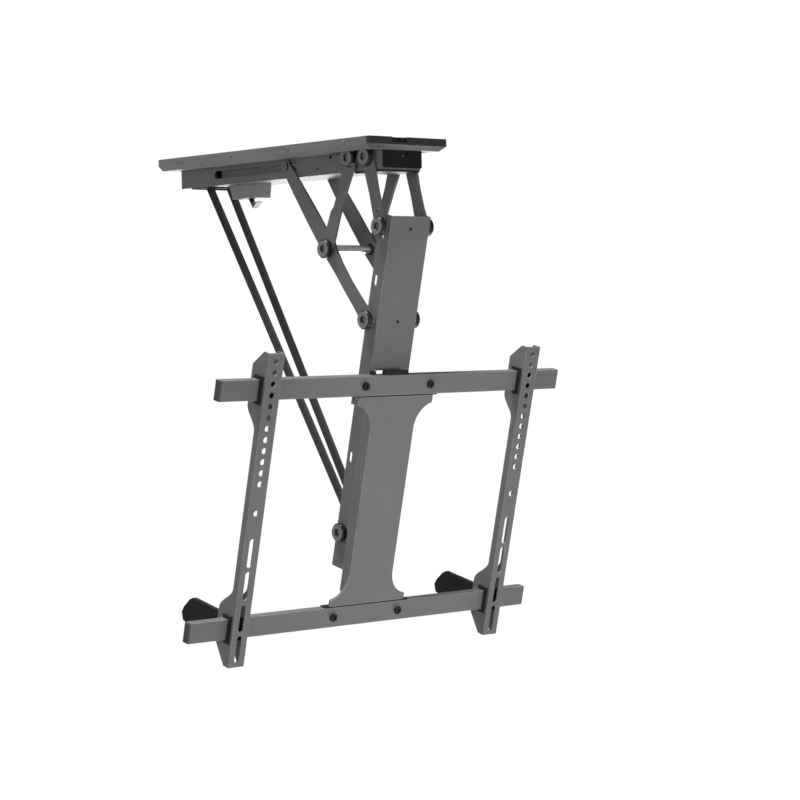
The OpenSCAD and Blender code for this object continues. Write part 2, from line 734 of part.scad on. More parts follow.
slip_nut_r = 10;
slip_nut_h = 3;
module top_link_bolts() color(black) both_sides() {
    bar(column_high, slip_shank_r, column_w / 2 - column_t - slip_nut_h, inner_x + link_t + side_gap + overrun);
    bolt_head(column_high, inner_x + link_t + side_gap);
    bar(column_high, slip_nut_r, column_w / 2 - column_t - slip_nut_h - side_gap,
        column_w / 2 - column_t - side_gap);
}

// Column, drawn in its own frame

web_rear = 22.9;
web_gap = 2;
web_window_l = 62;
lip_w = 9;
column_top = web_gap + column_web_l;
slip_slot_rear = 1.6;
slip_slot_w = 11;
slip_slot_low = 15.9;
slip_slot_high = 1.2;
side_slot_w = 7;
side_slot_l = 16;
side_dot_r = 2;
// Places on the side wall as shares of its depth and, from the top, of its length
side_slot_shares = [[0.69, 0.184], [0.707, 0.684]];
side_dot_shares = [[0.863, 0.526], [0.902, 0.837]];
// Places down the front web as shares of its length
web_dot_shares = [0.083, 0.682];
web_dot_x = 1.5;
web_dot_r = 1.8;

module column() color(steel) in_column() difference() {
    foot = column_top - column_l;
    translate([-column_w / 2, web_rear, foot]) cube([column_w, column_d, column_l]);
    translate([column_t - column_w / 2, web_rear + column_t, foot - overrun])
        cube([column_w - 2 * column_t, column_d, column_l + 2 * overrun]);
    translate([column_t - column_w / 2, web_rear - overrun, web_gap - web_window_l])
        cube([column_w - 2 * column_t, column_t + 2 * overrun, web_window_l]);
    translate([lip_w - column_w / 2, web_rear - overrun, foot - overrun])
        cube([column_w - 2 * lip_w, column_t + 2 * overrun, column_l - column_web_l - web_window_l + 2 * overrun]);
    bar(low_c, shank_r + bore_gap, -column_w, column_w);
    bar(foot_c, axle_screw_r + bore_gap, -column_w, column_w);
    slip_r = slip_slot_w / 2;
    translate([0, high_c[0] + slip_slot_rear, high_c[1]]) {
        for (z = [slip_slot_high + slip_shank_r + side_gap - slip_r,
                slip_r - slip_shank_r - side_gap - slip_slot_low])
            bar([0, z], slip_r, -column_w, column_w);
        z0 = slip_r - slip_shank_r - side_gap - slip_slot_low;
        z1 = slip_slot_high + slip_shank_r + side_gap - slip_r;
        translate([-column_w, -slip_r, z0]) cube([2 * column_w, slip_slot_w, z1 - z0]);
    }
    for (s = side_slot_shares) translate([0, web_rear + s[0] * column_d, column_top - s[1] * column_l - side_slot_l / 2])
        slab(-column_w, 2 * column_w) rotate(90) slot_2d(side_slot_l, side_slot_w);
    for (s = side_dot_shares)
        both_sides() bar([web_rear + s[0] * column_d, column_top - s[1] * column_l], side_dot_r,
            (column_w - column_t) / 2, column_w);
    for (s = web_dot_shares) translate([web_dot_x, web_rear - overrun, column_top - s * column_web_l]) rotate([-90, 0, 0])
        cylinder(r = web_dot_r, h = column_t + 2 * overrun);
}

clip_head_r = 2.5;
clip_head_h = 0.8;
clip_w = 8;
clip_t = 2.5;
clip_arm_l = 9;
module cable_clips() color(black) in_column() for (s = web_dot_shares)
    translate([web_dot_x, web_rear, column_top - s * column_web_l]) rotate([-90, 0, 0]) {
        translate([0, 0, -clip_head_h]) cylinder(r = clip_head_r, h = clip_head_h);
        translate([0, 0, -clip_head_h / 2])
            cylinder(r = web_dot_r - bore_gap, h = clip_head_h / 2 + column_t + clip_t / 2);
        translate([-clip_w / 2, -clip_w / 2, column_t + bore_gap]) cube([clip_w, clip_w, clip_t]);
        for (x = [-clip_w / 2, clip_w / 2 - clip_t / 2])
            translate([x, -clip_w / 2, column_t + clip_t / 2]) cube([clip_t / 2, clip_w, clip_arm_l]);
    }

// The carrier is a shallow channel, flush with the rails' fronts, that clasps the column's sides; a step at each
// end goes back and lies behind a rail
strip_x = 81;
strip_h = 2;
strip_front = 1;
carrier_gap = 0.4;
carrier_margin = 2;
carrier_side_gap = 1;
carrier_rear = rail_d + carrier_gap;
carrier_waist = column_w / 2 + carrier_t + carrier_side_gap;
carrier_high = -rail_h - strip_h;
carrier_low = -rail_pitch + strip_h;
carrier_flange_d = 17.5;
carrier_flange_more = 28;
carrier_fillet_high = 41;
carrier_fillet_low = 36;
flare_h = 9.5;
ledge_drop = 9;
neck_w = 48;
waist_top = carrier_high - flare_h - carrier_fillet_high;
waist_low = carrier_low + flare_h + carrier_fillet_low;
rib_x = 30;
rib_t = 2.5;
rib_margin = 10;
tab_window_x = 45;
tab_window_w = 24;

// Front outline with a quarter fillet from the waist out to each flare
module carrier_2d() {
    w = carrier_flare;
    n = carrier_waist;
    difference() {
        translate([-w, carrier_low]) square([2 * w, carrier_high - carrier_low]);
        for (s = [-1, 1]) {
            translate([s * (n + carrier_fillet_high), waist_top]) circle(carrier_fillet_high);
            translate([s * (n + carrier_fillet_low), waist_low]) circle(carrier_fillet_low);
            translate([s > 0 ? n : -w - overrun, waist_low])
                square([w - n + overrun, waist_top - waist_low]);
        }
    }
}

module carrier_plate() color(steel) in_column() difference() {
    union() {
        translate([0, carrier_t, 0]) rotate([90, 0, 0]) linear_extrude(carrier_t) carrier_2d();
        for (x = [-carrier_waist, carrier_waist - carrier_t])
            translate([x, carrier_t / 2, waist_low - carrier_flange_more])
                cube([carrier_t, carrier_flange_d - carrier_t / 2, waist_top - waist_low + 2 * carrier_flange_more]);
        for (x = [-rib_x - rib_t, rib_x]) translate([x, carrier_t / 2, waist_low + rib_margin])
            cube([rib_t, web_rear - seat_gap - carrier_t / 2, waist_top - waist_low]);
        translate([-carrier_flare, carrier_t / 2, carrier_high - ledge_drop - carrier_t])
            cube([2 * carrier_flare, carrier_rear + carrier_t / 2, carrier_t]);
        translate([-carrier_flare, carrier_rear, carrier_high - ledge_drop - carrier_t])
            cube([2 * carrier_flare, carrier_t, ledge_drop + carrier_t - carrier_high - carrier_margin]);
        translate([-neck_w, carrier_t / 2, carrier_low]) cube([2 * neck_w, carrier_rear + carrier_t / 2, carrier_t]);
        translate([-neck_w, carrier_rear, -rail_pitch - rail_h + carrier_margin])
            cube([2 * neck_w, carrier_t, carrier_low + carrier_t + rail_pitch + rail_h - carrier_margin]);
        translate([-carrier_flare, carrier_rear, -rail_pitch - rail_h + carrier_margin])
            cube([2 * carrier_flare, carrier_t, rail_h - 2 * carrier_margin]);
    }
    for (x = [-1, 1] * rail_screw_x, z = rail_screw_z)
        translate([x, 0, z]) rotate([-90, 0, 0]) cylinder(r = rail_screw_r, h = carrier_rear + carrier_t + overrun);
    for (x = [-tab_window_x - tab_window_w, tab_window_x])
        translate([x, carrier_rear - overrun, carrier_high - ledge_drop])
            cube([tab_window_w, carrier_t + 2 * overrun, ledge_drop - overrun]);
}

rail_screw_x = 63;
rail_screw_z = [-rail_h / 2, -rail_pitch - rail_h / 2];
rail_screw_r = 3.2;
module rail(z1) color(steel) in_column() difference() {
    translate([-rail_l / 2, 0, z1 - rail_h]) cube([rail_l, rail_d, rail_h]);
    translate([-rail_l, rail_t, z1 - rail_h + rail_t])
        cube([2 * rail_l, rail_d - 2 * rail_t, rail_h - 2 * rail_t]);
    for (x = [-1, 1] * rail_screw_x) translate([x, -overrun, z1 - rail_h / 2]) rotate([-90, 0, 0])
        cylinder(r = rail_screw_r, h = rail_d + 2 * overrun);
}

cap_t = 3;
cap_plug = 14;
module rail_end_caps() color(dark_steel) in_column() for (z = [0, -rail_pitch]) both_sides() {
    translate([rail_l / 2, 0, z - rail_h]) cube([cap_t, rail_d, rail_h]);
    translate([rail_l / 2 - cap_plug, rail_t + bore_gap, z - rail_h + rail_t + bore_gap])
        cube([cap_plug + overrun, rail_d - 2 * rail_t - 2 * bore_gap, rail_h - 2 * rail_t - 2 * bore_gap]);
}

rail_screw_head_r = 6.2;
rail_screw_head_h = 3;
rail_nut_h = 4;
module rail_screws() color(black) in_column() for (x = [-1, 1] * rail_screw_x, z = rail_screw_z)
    translate([x, 0, z]) rotate([-90, 0, 0]) {
        difference() {
            translate([0, 0, -rail_screw_head_h]) cylinder(r = rail_screw_head_r, h = rail_screw_head_h);
            translate([0, 0, -rail_screw_head_h - overrun])
                cylinder(r = rail_screw_r, h = rail_screw_head_h / 2 + overrun, $fn = 6);
        }
        translate([0, 0, -rail_screw_head_h / 3])
            cylinder(r = rail_screw_r - bore_gap, h = carrier_rear + carrier_t + rail_screw_head_h / 3);
        translate([0, 0, carrier_rear + carrier_t])
            cylinder(r = rail_screw_head_r, h = rail_nut_h, $fn = 6);
    }

pad_d = 6;
pad_h = 5.3;
// Both ends of each pad on the upper rail, from the middle
pad_ends = [[-48.7, -40.4], [-24, 22.5]];
module rail_strips() color(black) in_column() {
    for (z = [-rail_h - strip_h, -rail_pitch])
        translate([-strip_x, strip_front, z]) cube([2 * strip_x, rail_d - strip_front, strip_h]);
    for (x = pad_ends) translate([x[0], rail_d - pad_d, 0]) cube([x[1] - x[0], pad_d, pad_h]);
}

column_washer_r = 11;
module column_pivot_bolts() color(black) both_sides() {
    bar(column_low, shank_r, column_w / 2 - column_t - nut_h, inner_x + link_t + side_gap + overrun);
    bolt_head(column_low, inner_x + link_t + side_gap);
    nut(column_low, nut_r, column_w / 2 - column_t);
    difference() {
        bar(column_low, column_washer_r, column_w / 2, inner_x - side_gap);
        bar(column_low, shank_r, 0, channel_w);
    }
}

axle_r = 6;
axle_screw_r = 4;
axle_screw_l = 14;
module strap_axle() color(zinc) difference() {
    half = column_w / 2 - column_t;
    bar(strap_foot, axle_r, -half, half);
    bar(strap_foot, axle_screw_r + bore_gap, half - axle_screw_l, half + overrun);
    bar(strap_foot, axle_screw_r + bore_gap, -half - overrun, axle_screw_l - half);
}

module strap_axle_bolts() color(black) both_sides() {
    bar(strap_foot, axle_screw_r, column_w / 2 - column_t - axle_screw_l + overrun, column_w / 2 + overrun);
    bolt_head(strap_foot, column_w / 2);
}

// Straps

strap_foot_x = 8.6;
strap_gap = 0.3;
strap_l = norm(strap_run) + strap_rise;
strap_skew = atan((strap_x - strap_foot_x) / norm(strap_run));
strap_tilt = atan2(strap_dir[0], strap_dir[1]);
loop_r = axle_r + bore_gap + strap_t;
module strap() color(black) difference() {
    union() {
        translate([strap_foot_x, strap_foot[0], strap_foot[1]]) rotate([-strap_tilt, 0, 0])
            rotate([0, strap_skew, 0]) translate([-strap_w / 2, -strap_t / 2, axle_r])
                cube([strap_w, strap_t, strap_l - axle_r]);
        bar(strap_foot, loop_r, strap_foot_x - strap_w / 2, strap_foot_x + strap_w / 2);
    }
    bar(strap_foot, axle_r + bore_gap, -column_w, column_w);
}

// Screen brackets, drawn in the column's frame

bracket_front = -10;
bracket_high = 40;
flange_slim = 12;
flange_deep = 34;
flange_low_deep = 38.5;
// Bends in the flange's rear edge, from the bracket's top, as shares of its length
flange_bend_shares = [0.0475, 0.173, 0.249, 0.75, 0.826, 0.93];
liner_t = 2;
rail_room = 0.4;
liner_room = 0.1;
// Both ends of each slot, from the bracket's top, as shares of its length
slot_row_shares = [[0.585, 0.678], [0.691, 0.782], [0.797, 0.886], [0.898, 0.985]];
first_hole = 12;
hole_count = 12;
lone_hole_share = 0.504;

function bend(i) = flange_bend_shares[i] * bracket_l;
function side_x(s) = screen_shift + s * screen_w / 2;

// Curved stretch of the flange's rear edge, from depth d0 to d1 between z0 and z1
bend_steps = 10;
function flange_curve(z0, z1, d0, d1) = [for (i = [0 : bend_steps]) let (t = i / bend_steps)
    [bracket_front + d0 + (d1 - d0) * (1 - cos(180 * t)) / 2, bracket_high - z0 - (z1 - z0) * t]];

module flange_2d() {
    room = rail_room + liner_t + liner_room;
    difference() {
        polygon(concat([[bracket_front, bracket_high], [bracket_front + flange_slim, bracket_high],
            [bracket_front + flange_deep, bracket_high - bend(0)]],
            flange_curve(bend(1), bend(2), flange_deep, flange_slim),
            flange_curve(bend(3), bend(4), flange_slim, flange_low_deep),
            [[bracket_front + flange_low_deep, bracket_high - bend(5)],
            [bracket_front + flange_slim, bracket_high - bracket_l], [bracket_front, bracket_high - bracket_l]]));
        for (z = [0, -rail_pitch]) translate([-room, z - rail_h - room])
            square([rail_d + 2 * room, rail_h + 2 * room]);
    }
}

module screen_bracket(s) color(steel) in_column() translate([side_x(s), 0, 0]) difference() {
    union() {
        for (x = [-bracket_w / 2, bracket_w / 2 - bracket_t]) slab(x, bracket_t) flange_2d();
        translate([-bracket_w / 2, bracket_front, bracket_high - bracket_l])
            cube([bracket_w, bracket_t, bracket_l]);
    }
    translate([0, bracket_front - overrun, bracket_high]) rotate([-90, 0, 0]) {
        for (i = [0 : hole_count - 1]) translate([0, first_hole + i * screen_hole_pitch, 0])
            cylinder(r = screen_hole_r, h = bracket_t + 2 * overrun);
        translate([0, lone_hole_share * bracket_l, 0]) cylinder(r = screen_hole_r, h = bracket_t + 2 * overrun);
        for (s = slot_row_shares) translate([0, s[0] * bracket_l, 0]) rotate(90)
            linear_extrude(bracket_t + 2 * overrun) slot_2d((s[1] - s[0]) * bracket_l, 2 * screen_hole_r);
    }
    bar(latch_pin, latch_pin_r + bore_gap, -bracket_w, bracket_w);
}

module bracket_liners(s) color(black) in_column() translate([side_x(s), 0, 0])
    for (z = [0, -rail_pitch]) difference() {
        room = rail_room + liner_t;
        w = bracket_w + 2 * liner_lip;
        brim = room + liner_brim;
        union() {
            translate([-w / 2, -room, z - rail_h - room]) cube([w, rail_d + 2 * room, rail_h + 2 * room]);
            for (x = [-w / 2, w / 2 - liner_lip + side_gap]) translate([x, -brim, z - rail_h - brim])
                cube([liner_lip - side_gap, rail_d + room + brim, rail_h + 2 * brim]);
        }
        translate([-w, -rail_room, z - rail_h - rail_room])
            cube([2 * w, rail_d + 2 * rail_room, rail_h + 2 * rail_room]);
        translate([-w, rail_d / 2, z - rail_h - 2 * brim]) cube([2 * w, 2 * rail_d, liner_mouth + 2 * liner_brim]);
    }
liner_lip = 3;
liner_brim = 3;
liner_mouth = 26;

latch_pin_back = 18.7;
latch_pin_drop = 4;
latch_pin = [latch_pin_back, -rail_pitch - latch_pin_drop];
latch_pin_r = 2.5;
latch_t = 7;
latch_reach = 127;
latch_h = 43;
// Corners as shares of the latch's reach and of its height, from the rail's top edge
latch_outline_shares = [[0.127, 0], [0.24, -0.02], [0.83, -0.04], [0.88, -0.14], [0.975, -0.5], [1, -0.7],
    [0.96, -0.95], [0.88, -1], [0.47, -0.77], [0.24, -0.42], [0.127, -0.3]];
module rail_latch(s) color(black) in_column() translate([side_x(s), 0, 0]) difference() {
    slab(-latch_t / 2, latch_t) polygon([for (p = latch_outline_shares)
        [p[0] * latch_reach, -rail_pitch + p[1] * latch_h]]);
    bar(latch_pin, latch_pin_r + bore_gap, -bracket_w, bracket_w);
}

module latch_pins(s) color(zinc) in_column() translate([side_x(s), 0, 0])
    bar(latch_pin, latch_pin_r, -bracket_w / 2 - overrun, bracket_w / 2 + overrun);

ceiling_plate();
tray_cover();
cover_front_cap();
cable_bush();
cover_screws();
channel();
channel_bolts();
control_box();
control_board();
infrared_window();
power_inlet();
gear_motor();
motor_saddle();
gearbox();
drum_bushes();
strap_grommet();
limit_switch_box();
bump_stop();
slide_guides();
slide_tracks();
ceiling_pivot_bolts();
ceiling_spacers();
strap_drum();
drum_shaft();
strap_rolls();
switch_lever();
mirror([1, 0, 0]) short_link();  // short_link_left
short_link();  // short_link_right
cross_rod();
rod_washers();
middle_pivot_bolts();
mirror([1, 0, 0]) long_link();  // long_link_left
long_link();  // long_link_right
slide_pins();
slide_shoes();
mirror([1, 0, 0]) top_link(true);  // top_link_left
top_link(false);  // top_link_right
top_link_bolts();
column();
cable_clips();
carrier_plate();
rail(0);  // upper_rail
rail(-rail_pitch);  // lower_rail
rail_end_caps();
rail_screws();
rail_strips();
column_pivot_bolts();
strap_axle();
strap_axle_bolts();
mirror([1, 0, 0]) strap();  // strap_left
strap();  // strap_right
screen_bracket(-1);  // screen_bracket_left
screen_bracket(1);  // screen_bracket_right
bracket_liners(-1);  // bracket_liners_left
bracket_liners(1);  // bracket_liners_right
rail_latch(-1);  // rail_latch_left
rail_latch(1);  // rail_latch_right
latch_pins(-1);  // latch_pins_left
latch_pins(1);  // latch_pins_right
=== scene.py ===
# Looks of the flip-down ceiling mount. Metres, in the CAD model's frame.
import math

import bmesh
import bpy
from mathutils import Matrix, Vector


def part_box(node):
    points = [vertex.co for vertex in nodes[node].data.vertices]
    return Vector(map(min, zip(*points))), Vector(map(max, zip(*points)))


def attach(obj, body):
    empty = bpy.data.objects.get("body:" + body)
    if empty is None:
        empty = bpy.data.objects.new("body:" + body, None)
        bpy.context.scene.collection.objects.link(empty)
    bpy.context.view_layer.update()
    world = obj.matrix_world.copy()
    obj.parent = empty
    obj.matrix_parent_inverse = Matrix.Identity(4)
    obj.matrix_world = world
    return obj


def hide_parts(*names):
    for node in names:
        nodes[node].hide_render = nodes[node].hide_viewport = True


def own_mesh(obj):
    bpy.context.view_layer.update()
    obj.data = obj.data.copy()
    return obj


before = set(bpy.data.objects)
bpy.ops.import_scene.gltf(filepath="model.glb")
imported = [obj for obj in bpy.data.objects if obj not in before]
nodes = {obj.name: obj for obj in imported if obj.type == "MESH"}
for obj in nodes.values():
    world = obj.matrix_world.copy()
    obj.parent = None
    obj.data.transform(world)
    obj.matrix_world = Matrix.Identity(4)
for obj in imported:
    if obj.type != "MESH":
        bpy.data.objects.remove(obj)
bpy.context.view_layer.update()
scene = bpy.context.scene
scene.view_settings.view_transform = "Standard"

# Camera
LENS = 110.42
SENSOR_W = 36
CLIP = (0.1, 60)
CAM_PLACE = (-2.37275, -2.93493, -0.29324)
CAM_RIGHT = (0.75154, -0.65936, -0.02093)
CAM_BACK = (-0.65891, -0.75182, 0.02478)

cam_data = bpy.data.cameras.new("camera")
cam = bpy.data.objects.new("camera", cam_data)
scene.collection.objects.link(cam)
cam_data.sensor_width = SENSOR_W
cam_data.lens = LENS
cam_data.clip_start, cam_data.clip_end = CLIP
right = Vector(CAM_RIGHT).normalized()
back = Vector(CAM_BACK).normalized()
up = back.cross(right).normalized()
right = up.cross(back)
turn = Matrix((right, up, back)).transposed().to_4x4()
cam.matrix_world = Matrix.Translation(CAM_PLACE) @ turn
scene.camera = cam


# Shader node helpers
class Tree:
    """Short names for the nodes and links of one material."""

    def __init__(self, name):
        self.material = bpy.data.materials.new(name)
        self.material.use_nodes = True
        self.t = self.material.node_tree
        self.t.nodes.clear()

    def add(self, kind, **values):
        n = self.t.nodes.new(kind)
        for k, v in values.items():
            setattr(n, k, v)
        return n

    def link(self, a, b):
        self.t.links.new(a, b)

    def feed(self, socket, value):
        """Links a socket to another's output, or sets it to a number."""
        if isinstance(value, (int, float)):
            socket.default_value = value
        else:
            self.link(value, socket)

    def coordinate(self, kind):
        return self.add("ShaderNodeTexCoord").outputs[kind]

    def math(self, op, a, b=None, clamp=False):
        n = self.add("ShaderNodeMath", operation=op, use_clamp=clamp)
        self.feed(n.inputs[0], a)
        if b is not None:
            self.feed(n.inputs[1], b)
        return n.outputs[0]

    def noise(self, vector, scale, detail, rough):
        n = self.add("ShaderNodeTexNoise")
        n.inputs["Scale"].default_value = scale
        n.inputs["Detail"].default_value = detail
        n.inputs["Roughness"].default_value = rough
        self.link(vector, n.inputs["Vector"])
        return n.outputs["Fac"]

    def mix(self, fac, a, b):
        n = self.add("ShaderNodeMix", data_type="RGBA")
        for slot, v in ((0, fac), (6, a), (7, b)):
            if isinstance(v, tuple):
                n.inputs[slot].default_value = (*v, 1)
            else:
                self.link(v, n.inputs[slot])
        return n.outputs[2]

    def spread(self, value, lo, hi, to_lo, to_hi):
        n = self.add("ShaderNodeMapRange")
        for i, v in enumerate((value, lo, hi, to_lo, to_hi)):
            self.feed(n.inputs[i], v)
        return n.outputs[0]

    def bump(self, height, distance, strength):
        n = self.add("ShaderNodeBump")
        n.inputs["Distance"].default_value = distance
        n.inputs["Strength"].default_value = strength
        self.link(height, n.inputs["Height"])
        return n.outputs["Normal"]

    def finish(self, color, rough, normal, metallic=0.0, **more):
        s = self.add("ShaderNodeBsdfPrincipled")
        out = self.add("ShaderNodeOutputMaterial")
        self.link(color, s.inputs["Base Color"])
        self.feed(s.inputs["Roughness"], rough)
        s.inputs["Metallic"].default_value = metallic
        for k, v in more.items():
            s.inputs[k.replace("_", " ")].default_value = v
        self.link(normal, s.inputs["Normal"])
        self.link(s.outputs[0], out.inputs[0])
        return self.material


def scaled(color, k):
    return tuple(c * k for c in color)


# The part of a noise's range that the eye sees change
NOISE_LO = 0.3
NOISE_HI = 0.7

# Painted metal
CLOUD_SCALE = 9
CLOUD_SHARES = (0.94, 1.06)
SPECK_RATIO = 2.2
SPECK_RANGE = (0.62, 0.75)
SPECK_SHARE = 0.22
SPECK_LIGHTER = 1.5
SCUFF_SCALE = 160
SCUFF_RANGE = (0.35, 0.65)
LIT_FACE_NORMAL_X = 0.9
LIT_FACE_SHARE = 0.85
EDGE_RANGE = (0.995, 0.85)
LEAST_WEAR_AND_HIGHLIGHT_SHARE = 0.25
COAT_GLOSS = (-0.05, 0.06)
PEEL_STRENGTH = 0.35


def coat(name, color, rough, wear_and_highlight, wear_and_highlight_color, grain=1400, depth=0.00006, spec=0.4,
         lit_face_color=None, edge_r=0.0008):
    """Painted or blackened metal: orange peel, faint cloudiness, dust, and lighter rounded edges that are
    partly worn paint and partly a painted highlight; lit_face_color paints the end faces across x lighter as
    a painted highlight.
    """
    t = Tree(name)
    place = t.coordinate("Object")
    cloud = t.noise(place, CLOUD_SCALE, 3, 0.6)
    peel = t.noise(place, grain, 2, 0.5)
    speck = t.noise(place, grain * SPECK_RATIO, 1, 0.5)
    scuff = t.noise(place, SCUFF_SCALE, 4, 0.65)
    dark, light = (scaled(color, k) for k in CLOUD_SHARES)
    body = t.mix(t.spread(cloud, NOISE_LO, NOISE_HI, 0, 1), dark, light)
    body = t.mix(t.spread(speck, *SPECK_RANGE, 0, SPECK_SHARE), body, scaled(color, SPECK_LIGHTER))
    # Faces across x are painted lighter: a painted highlight standing in for the light on the bolt heads'
    # end faces.
    if lit_face_color is not None:
        across = t.add("ShaderNodeSeparateXYZ")
        t.link(t.coordinate("Normal"), across.inputs[0])
        flat = t.math("GREATER_THAN", t.math("ABSOLUTE", across.outputs[0]), LIT_FACE_NORMAL_X)
        body = t.mix(t.math("MULTIPLY", flat, LIT_FACE_SHARE), body, lit_face_color)
    rounded = t.add("ShaderNodeBevel", samples=4)
    rounded.inputs["Radius"].default_value = edge_r
    facing = t.add("ShaderNodeVectorMath", operation="DOT_PRODUCT")
    t.link(rounded.outputs[0], facing.inputs[0])
    t.link(t.add("ShaderNodeNewGeometry").outputs["Normal"], facing.inputs[1])
    # Lighter colour along the rounded edges: partly worn paint, partly a painted highlight where the bends
    # catch light.
    edge = t.spread(facing.outputs["Value"], *EDGE_RANGE, 0, 1)
    patches = t.spread(scuff, *SCUFF_RANGE, LEAST_WEAR_AND_HIGHLIGHT_SHARE * wear_and_highlight, wear_and_highlight)
    body = t.mix(t.math("MULTIPLY", edge, patches, clamp=True), body, wear_and_highlight_color)
    gloss = t.spread(scuff, NOISE_LO, NOISE_HI, rough + COAT_GLOSS[0], rough + COAT_GLOSS[1])
    normal = t.bump(peel, depth, PEEL_STRENGTH)
    return t.finish(body, gloss, normal, Specular_IOR_Level=spec)


# Moulded plastic
FLOW_SCALE = 30
FLOW_SHARES = (0.88, 1.12)
PLASTIC_GLOSS = (-0.04, 0.05)
GRAIN_DEPTH = 0.00008


def plastic(name, color, rough, grain=2600, spec=0.35, relief=0.4):
    """Moulded plastic with a fine spark-eroded grain and faint flow marks."""
    t = Tree(name)
    place = t.coordinate("Object")
    flow = t.noise(place, FLOW_SCALE, 3, 0.6)
    fine = t.noise(place, grain, 2, 0.6)
    dark, light = (scaled(color, k) for k in FLOW_SHARES)
    body = t.mix(t.spread(flow, NOISE_LO, NOISE_HI, 0, 1), dark, light)
    gloss = t.spread(flow, NOISE_LO, NOISE_HI, rough + PLASTIC_GLOSS[0], rough + PLASTIC_GLOSS[1])
    return t.finish(body, gloss, t.bump(fine, GRAIN_DEPTH, relief), Specular_IOR_Level=spec)


# Bare metal
DRAWN_SCALE = (60, 2200, 2200)
PATCH_SCALE = 70
PATCH_SHARES = (0.88, 1.08)
STREAK_DEPTH = 0.00003
STREAK_STRENGTH = 0.3


def metal(name, color, rough, streak):
    """Bare or plated metal with drawn streaks along x and a faint patchiness."""
    t = Tree(name)
    place = t.coordinate("Object")
    drawn = t.add("ShaderNodeMapping")
    drawn.inputs["Scale"].default_value = DRAWN_SCALE
    t.link(place, drawn.inputs["Vector"])
    lines = t.noise(drawn.outputs[0], 1, 3, 0.6)
    patch = t.noise(place, PATCH_SCALE, 3, 0.6)
    dark, light = (scaled(color, k) for k in PATCH_SHARES)
    body = t.mix(t.spread(patch, NOISE_LO, NOISE_HI, 0, 1), dark, light)
    gloss = t.spread(lines, NOISE_LO, NOISE_HI, rough - streak, rough + streak)
    return t.finish(body, gloss, t.bump(lines, STREAK_DEPTH, STREAK_STRENGTH), 1.0)


# Woven strap
WARP_PITCH = 0.0023
WEFT_PITCH = 0.0031
YARN_SHARE = 0.6
ROW_SHARE = 0.4
FUZZ_SCALE = 3800
FUZZ_RANGE = (0.55, 0.75)
FUZZ_COLOR_SHARE = 0.3
FUZZ_HEIGHT_SHARE = 0.25
WEAVE_SHARES = (0.55, 1.5)
FUZZ_LIGHTER = 2.2
WEAVE_DEPTH = 0.0004
WEAVE_STRENGTH = 0.8
WEAVE_ROUGH = 0.8


def webbing(name, color):
    """Plain-woven strap; its mesh carries u across and v along the strap, in metres."""
    t = Tree(name)
    uv = t.add("ShaderNodeSeparateXYZ")
    t.link(t.coordinate("UV"), uv.inputs[0])
    across = t.math("SINE", t.math("MULTIPLY", uv.outputs[0], 2 * math.pi / WARP_PITCH))
    along = t.math("SINE", t.math("MULTIPLY", uv.outputs[1], 2 * math.pi / WEFT_PITCH))
    yarn = t.spread(t.math("MULTIPLY", across, along), -1, 1, 0, 1)
    rows = t.spread(across, -1, 1, 0, 1)
    height = t.math("ADD", t.math("MULTIPLY", yarn, YARN_SHARE), t.math("MULTIPLY", rows, ROW_SHARE))
    fuzz = t.noise(t.coordinate("Object"), FUZZ_SCALE, 2, 0.7)
    # The weave's low places are painted darker and its raised yarns lighter: painted shade in the hollows
    # between yarns.
    low, high = (scaled(color, k) for k in WEAVE_SHARES)
    body = t.mix(height, low, high)
    hairs = t.spread(fuzz, *FUZZ_RANGE, 0, FUZZ_COLOR_SHARE)
    body = t.mix(hairs, body, scaled(color, FUZZ_LIGHTER))
    total = t.math("ADD", height, t.math("MULTIPLY", fuzz, FUZZ_HEIGHT_SHARE))
    normal = t.bump(total, WEAVE_DEPTH, WEAVE_STRENGTH)
    return t.finish(body, WEAVE_ROUGH, normal, Sheen_Weight=0.25, Specular_IOR_Level=0.25)


def board_material():
    """Circuit board: solder mask with tracks and pale pads."""
    t = Tree("circuit_board")
    place = t.coordinate("Object")
    brick = t.add("ShaderNodeTexBrick")
    brick.inputs["Scale"].default_value = 160
    brick.inputs["Mortar Size"].default_value = 0.08
    brick.inputs["Color1"].default_value = (0.02, 0.1, 0.045, 1)
    brick.inputs["Color2"].default_value = (0.024, 0.12, 0.05, 1)
    brick.inputs["Mortar"].default_value = (0.05, 0.2, 0.09, 1)
    t.link(place, brick.inputs["Vector"])
    fine = t.noise(place, 900, 2, 0.5)
    body = t.mix(t.spread(fine, 0.6, 0.7, 0, 0.5), brick.outputs["Color"], (0.5, 0.5, 0.45))
    return t.finish(body, 0.35, t.bump(brick.outputs["Fac"], 0.0001, 0.4))


def window_material():
    """Dark red plastic that lets infrared light through."""
    t = Tree("red_window")
    cloud = t.noise(t.coordinate("Object"), 500, 2, 0.5)
    body = t.mix(cloud, (0.11, 0.008, 0.014), (0.17, 0.012, 0.02))
    return t.finish(body, 0.15, t.bump(cloud, 0.00005, 0.2), Coat_Weight=0.6)


STEEL = (0.15, 0.153, 0.156)
# Lighter edge colour: partly worn paint, partly a painted edge highlight.
WORN_AND_LIT_EDGE = (0.42, 0.425, 0.43)
STEEL_ROUGH = 0.46
steel = coat("powder_coated_steel", STEEL, STEEL_ROUGH, 0.7, WORN_AND_LIT_EDGE)
# The frame parts get wider, lighter edges: more painted edge highlight along with their wear.
frame_steel = coat("powder_coated_frame", STEEL, STEEL_ROUGH, 0.9, (0.5, 0.505, 0.51), edge_r=0.0013)
